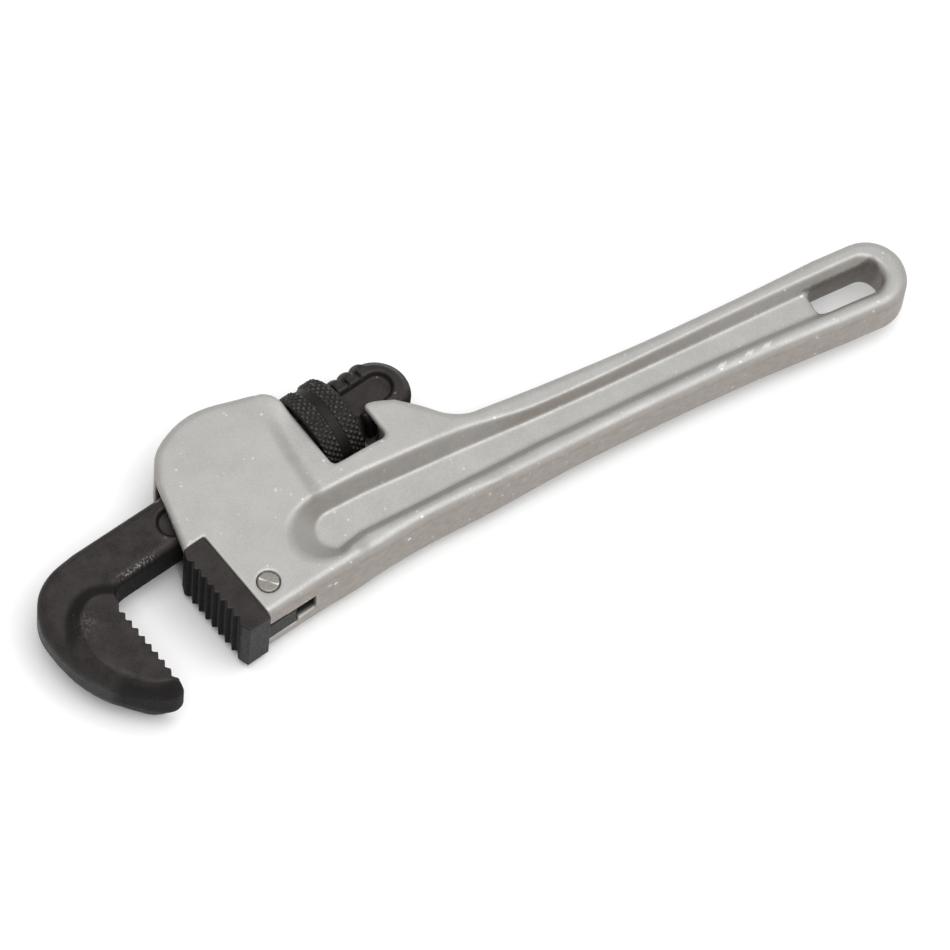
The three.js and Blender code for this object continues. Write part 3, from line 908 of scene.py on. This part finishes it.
class Nodes:
    """Short calls for building a procedural material on object coordinates in millimetres."""

    def __init__(self, name, metallic):
        self.material = bpy.data.materials.new(name)
        self.material.use_nodes = True
        self.tree = self.material.node_tree
        self.shader = self.tree.nodes["Principled BSDF"]
        self.shader.inputs["Metallic"].default_value = metallic
        coordinates = self.tree.nodes.new("ShaderNodeTexCoord")
        scaled = self.tree.nodes.new("ShaderNodeVectorMath")
        scaled.operation = "SCALE"
        scaled.inputs["Scale"].default_value = 1 / MM
        self.link(coordinates.outputs["Object"], scaled.inputs[0])
        self.place = scaled.outputs[0]

    def link(self, start, end):
        self.tree.links.new(start, end)

    def noise(self, size, detail=3, rough=0.6, distortion=0.0):
        made = self.tree.nodes.new("ShaderNodeTexNoise")
        self.link(self.place, made.inputs["Vector"])
        made.inputs["Scale"].default_value = 1 / size
        made.inputs["Detail"].default_value = detail
        made.inputs["Roughness"].default_value = rough
        made.inputs["Distortion"].default_value = distortion
        return made.outputs["Fac"]

    def spots(self, size):
        made = self.tree.nodes.new("ShaderNodeTexVoronoi")
        self.link(self.place, made.inputs["Vector"])
        made.inputs["Scale"].default_value = 1 / size
        return made

    def span(self, value, low, high, to_low=0.0, to_high=1.0):
        made = self.tree.nodes.new("ShaderNodeMapRange")
        self.link(value, made.inputs["Value"])
        made.inputs["From Min"].default_value = low
        made.inputs["From Max"].default_value = high
        made.inputs["To Min"].default_value = to_low
        made.inputs["To Max"].default_value = to_high
        return made.outputs["Result"]

    def math(self, operation, first, second):
        made = self.tree.nodes.new("ShaderNodeMath")
        made.operation = operation
        for socket, value in zip(made.inputs, (first, second)):
            if isinstance(value, (int, float)):
                socket.default_value = value
            else:
                self.link(value, socket)
        return made.outputs[0]

    def mix(self, share, first, second):
        made = self.tree.nodes.new("ShaderNodeMix")
        made.data_type = "RGBA"
        self.link(share, made.inputs["Factor"])
        for socket, value in ((made.inputs["A"], first), (made.inputs["B"], second)):
            if isinstance(value, tuple):
                socket.default_value = (*value, 1)
            else:
                self.link(value, socket)
        return made.outputs["Result"]

    def level(self, low, high):
        """1 where the surface lies flat and 0 where it stands upright."""
        made = self.tree.nodes.new("ShaderNodeNewGeometry")
        split = self.tree.nodes.new("ShaderNodeSeparateXYZ")
        self.link(made.outputs["Normal"], split.inputs[0])
        return self.span(self.math("ABSOLUTE", split.outputs["Z"], 0), low, high)

    def painted(self, name):
        made = self.tree.nodes.new("ShaderNodeAttribute")
        made.attribute_name = name
        return made.outputs["Fac"]

    def edges(self, low, high):
        """1 on outward edges and 0 elsewhere."""
        made = self.tree.nodes.new("ShaderNodeNewGeometry")
        return self.span(made.outputs["Pointiness"], low, high)

    def bump(self, height, strength, distance, under=None):
        made = self.tree.nodes.new("ShaderNodeBump")
        made.inputs["Strength"].default_value = strength
        made.inputs["Distance"].default_value = distance * MM
        self.link(height, made.inputs["Height"])
        if under:
            self.link(under, made.inputs["Normal"])
        return made.outputs["Normal"]

    def finish(self, colour, roughness, normal):
        self.link(colour, self.shader.inputs["Base Color"])
        self.link(roughness, self.shader.inputs["Roughness"])
        self.link(normal, self.shader.inputs["Normal"])
        return self.material


def casting_finish():
    """Silver-grey coating over a fine-grained casting.

    It has bright flecks, and rims lightened partly by wear and partly as a painted highlight; painted shade
    makes it warmer and darker where it stands upright.
    """
    dull_silver = (0.37, 0.361, 0.343)
    pale_silver = (0.423, 0.416, 0.402)
    dark_grain = (0.325, 0.316, 0.298)
    light_grain = (0.48, 0.473, 0.458)
    dark_taupe_shade = (0.24, 0.212, 0.188)
    light_taupe_shade = (0.3, 0.27, 0.244)
    bright_fleck = (0.78, 0.78, 0.76)
    rim_wear_and_highlight = (0.62, 0.61, 0.59)
    shade_and_grease = (0.03, 0.027, 0.025)
    n = Nodes("coated_aluminium", 0.42)
    broad = n.mix(n.span(n.noise(9), 0.35, 0.65), dull_silver, pale_silver)
    grain = n.mix(n.span(n.noise(0.45, 2), 0.3, 0.7), dark_grain, light_grain)
    colour = n.mix(n.span(n.noise(0.9, 2), 0.2, 0.8, 0.3, 0.5), broad, grain)
    # Painted shade: faces that stand upright take the darker, warmer taupe.
    upright = n.mix(n.span(n.noise(2.2, 3), 0.3, 0.7), dark_taupe_shade, light_taupe_shade)
    colour = n.mix(n.level(0.25, 0.93), upright, colour)
    cell = n.spots(2.1)
    near = n.span(cell.outputs["Distance"], 0.26, 0.06)
    rare = n.span(n.noise(3.1, 1), 0.57, 0.66)
    fleck = n.math("MULTIPLY", n.math("MULTIPLY", near, rare), 0.6)
    colour = n.mix(fleck, colour, bright_fleck)
    # Outward rims are lightened, partly as edge wear and partly as a painted highlight.
    colour = n.mix(n.edges(0.52, 0.62), colour, rim_wear_and_highlight)
    # Painted shade, with a little real dirt, darkens the colour from the piece's painted attribute.
    colour = n.mix(n.painted("shade_and_grime"), colour, shade_and_grease)
    fine_rough = n.span(n.noise(0.6, 3), 0.2, 0.8, 0.39, 0.54)
    broad_rough = n.span(n.noise(7, 2), 0.3, 0.7, -0.04, 0.04)
    rough = n.math("ADD", fine_rough, broad_rough)
    rough = n.math("SUBTRACT", rough, n.math("MULTIPLY", fleck, 0.15))
    peel = n.bump(n.noise(1.6, 2), 0.25, 0.06)
    return n.finish(colour, rough, n.bump(n.noise(0.35, 3), 0.35, 0.03, peel))


def black_steel(name, worn_low, worn_high, dark, warm, wear_and_highlight):
    """Black oxide over forged steel, mottled, with bare metal showing on the edges; painted shade darkens
    upright faces and the spots the piece marks, and a painted highlight rides on some of the marked wear.

    Edges whose pointiness lies between worn_low and worn_high begin to show the metal.
    """
    shade_and_grease = (0.006, 0.005, 0.005)
    darkest = tuple(0.35 * v for v in dark)
    darker = tuple(0.55 * v for v in dark)
    speckle = tuple(1.6 * v for v in warm)
    n = Nodes(name, 0.2)
    n.shader.inputs["Specular IOR Level"].default_value = 0.18
    colour = n.mix(n.span(n.noise(4.5, 4), 0.35, 0.68), dark, warm)
    colour = n.mix(n.span(n.noise(0.5, 3), 0.45, 0.75, 0, 0.45), colour, speckle)
    patchy = n.span(n.noise(0.8, 4, 0.7), 0.42, 0.62)
    # The piece's painted wear brings bare metal and, on the hook's shoulder, a painted highlight.
    rubbed_and_highlight = n.math("MULTIPLY", n.painted("wear_and_highlight"), n.span(n.noise(0.7, 3, 0.7), 0.5, 0.62))
    wear_and_highlight_mask = n.math("MAXIMUM", n.math("MULTIPLY", n.edges(worn_low, worn_high), patchy), rubbed_and_highlight)
    colour = n.mix(wear_and_highlight_mask, colour, wear_and_highlight)
    # Painted shade: faces that stand upright take the darker colours.
    upright_painted_shade = n.mix(n.span(n.noise(3, 2), 0.35, 0.65), darkest, darker)
    colour = n.mix(n.level(0.0, 0.75), upright_painted_shade, colour)
    # Painted shade, with a little real dirt, darkens the colour from the piece's painted attribute.
    colour = n.mix(n.painted("shade_and_grime"), colour, shade_and_grease)
    oxide_rough = n.span(n.noise(0.8, 4), 0.25, 0.75, 0.36, 0.6)
    rough = n.math("SUBTRACT", oxide_rough, n.math("MULTIPLY", wear_and_highlight_mask, 0.12))
    rough = n.math("ADD", rough, n.math("MULTIPLY", n.painted("shade_and_grime"), 0.3))
    scale = n.bump(n.noise(2.2, 4), 0.3, 0.08)
    return n.finish(colour, rough, n.bump(n.noise(0.3, 3), 0.4, 0.04, scale))


def pin_finish():
    """Dull ground steel with fine marks, a few darker stains and a bright rim."""
    ground_steel = (0.27, 0.257, 0.235)
    stain = (0.21, 0.197, 0.176)
    bright_rim = (0.66, 0.62, 0.58)
    n = Nodes("ground_pin_steel", 0.7)
    colour = n.mix(n.span(n.noise(0.7, 4), 0.35, 0.7), ground_steel, stain)
    colour = n.mix(n.edges(0.53, 0.62), colour, bright_rim)
    rough = n.span(n.noise(0.4, 3), 0.25, 0.75, 0.34, 0.56)
    return n.finish(colour, rough, n.bump(n.noise(0.25, 3), 0.35, 0.03))


def spring_finish():
    """Dark spring temper, blue-grey with brown patches under a film of oil."""
    blue_grey = (0.16, 0.165, 0.18)
    brown = (0.23, 0.2, 0.17)
    n = Nodes("spring_temper_steel", 0.9)
    colour = n.mix(n.span(n.noise(1.8, 3), 0.35, 0.65), blue_grey, brown)
    rough = n.span(n.noise(0.5, 3), 0.25, 0.75, 0.22, 0.42)
    return n.finish(colour, rough, n.bump(n.noise(0.3, 2), 0.2, 0.02))


def floor_finish():
    off_white = (0.95, 0.95, 0.95)
    white = (0.97, 0.97, 0.97)
    n = Nodes("pale_floor", 0)
    colour = n.mix(n.span(n.noise(40, 2), 0.3, 0.7), off_white, white)
    rough = n.span(n.noise(15, 2), 0.3, 0.7, 0.75, 0.85)
    return n.finish(colour, rough, n.bump(n.noise(5, 2), 0.05, 0.02))


# ---- studio ----


def floor():
    half = 4.0
    level = CAD_BOX[0].z
    mesh = bpy.data.meshes.new("studio_floor")
    corners = [(-half, -half, level), (half, -half, level), (half, half, level), (-half, half, level)]
    mesh.from_pydata(corners, [], [(0, 1, 2, 3)])
    mesh.materials.append(floor_finish())
    made = bpy.data.objects.new("studio_floor", mesh)
    bpy.context.scene.collection.objects.link(made)


def soft_light(name, azimuth, elevation, distance, size, watts):
    """A square light that looks at the wrench; azimuth 0 is in front of it, on the -Y side."""
    lamp = bpy.data.lights.new(name, "AREA")
    lamp.size = size
    lamp.energy = watts
    made = bpy.data.objects.new(name, lamp)
    turn = math.radians(azimuth)
    rise = math.radians(elevation)
    away = Vector((math.sin(turn) * math.cos(rise), -math.cos(turn) * math.cos(rise), math.sin(rise)))
    made.location = away * distance
    made.rotation_mode = "QUATERNION"
    made.rotation_quaternion = (-away).to_track_quat("-Z", "Y")
    bpy.context.scene.collection.objects.link(made)


def surroundings(strength):
    world = bpy.data.worlds.new("studio")
    bpy.context.scene.world = world
    world.use_nodes = True
    background = world.node_tree.nodes["Background"]
    background.inputs["Color"].default_value = (1, 1, 1, 1)
    background.inputs["Strength"].default_value = strength


# The camera's lens, the width that it takes in at the wrench, and its direction.
VIEW_ANGLE = math.radians(8)
VIEW_WIDTH = 0.25333
VIEW_ELEVATION = math.radians(62.03)
VIEW_TURN = math.radians(34.91)
VIEW_ROLL = math.radians(7.45)


def camera():
    """A long lens that looks down on the wrench from its mouth side."""
    x, y = head_to_part(0, 0)
    target = Vector((x, y, MID_Z + HOUSING_HALF)) * MM
    level_right = Vector((math.cos(VIEW_TURN), -math.sin(VIEW_TURN), 0))
    level_ahead = Vector((math.sin(VIEW_TURN), math.cos(VIEW_TURN), 0))
    ahead = level_ahead * math.cos(VIEW_ELEVATION) - Vector((0, 0, math.sin(VIEW_ELEVATION)))
    level_up = level_right.cross(ahead)
    right = level_right * math.cos(VIEW_ROLL) + level_up * math.sin(VIEW_ROLL)
    up = level_up * math.cos(VIEW_ROLL) - level_right * math.sin(VIEW_ROLL)
    data = bpy.data.cameras.new("camera")
    data.angle = VIEW_ANGLE
    made = bpy.data.objects.new("camera", data)
    turn = Matrix((right, up, -ahead)).transposed()
    distance = VIEW_WIDTH / 2 / math.tan(VIEW_ANGLE / 2)
    made.matrix_world = Matrix.Translation(target - ahead * distance) @ turn.to_4x4()
    bpy.context.scene.collection.objects.link(made)
    bpy.context.scene.camera = made


camera()
floor()
surroundings(strength=0.62)
soft_light("key", azimuth=0, elevation=78, distance=1.6, size=1.5, watts=21)
soft_light("fill", azimuth=60, elevation=50, distance=1.6, size=1.0, watts=2)
bpy.context.scene.view_settings.view_transform = "Standard"

CASTING_FINISH = casting_finish()
JAW_FINISH = black_steel(
    "black_jaw_steel",
    worn_low=0.53,
    worn_high=0.66,
    dark=(0.019, 0.0165, 0.0157),
    warm=(0.035, 0.03, 0.028),
    wear_and_highlight=(0.22, 0.2, 0.18),
)
NUT_FINISH = black_steel(
    "black_nut_steel",
    worn_low=0.5,
    worn_high=0.62,
    dark=(0.012, 0.0105, 0.01),
    warm=(0.023, 0.02, 0.018),
    wear_and_highlight=(0.17, 0.155, 0.14),
)
SPRING_FINISH = spring_finish()

casting(CASTING_FINISH)
heel_jaw(JAW_FINISH)
hook_jaw(JAW_FINISH)
nut(NUT_FINISH)
jaw_pin(pin_finish())
leaf_spring(SPRING_FINISH)
rivet(SPRING_FINISH)
coil_spring(SPRING_FINISH)
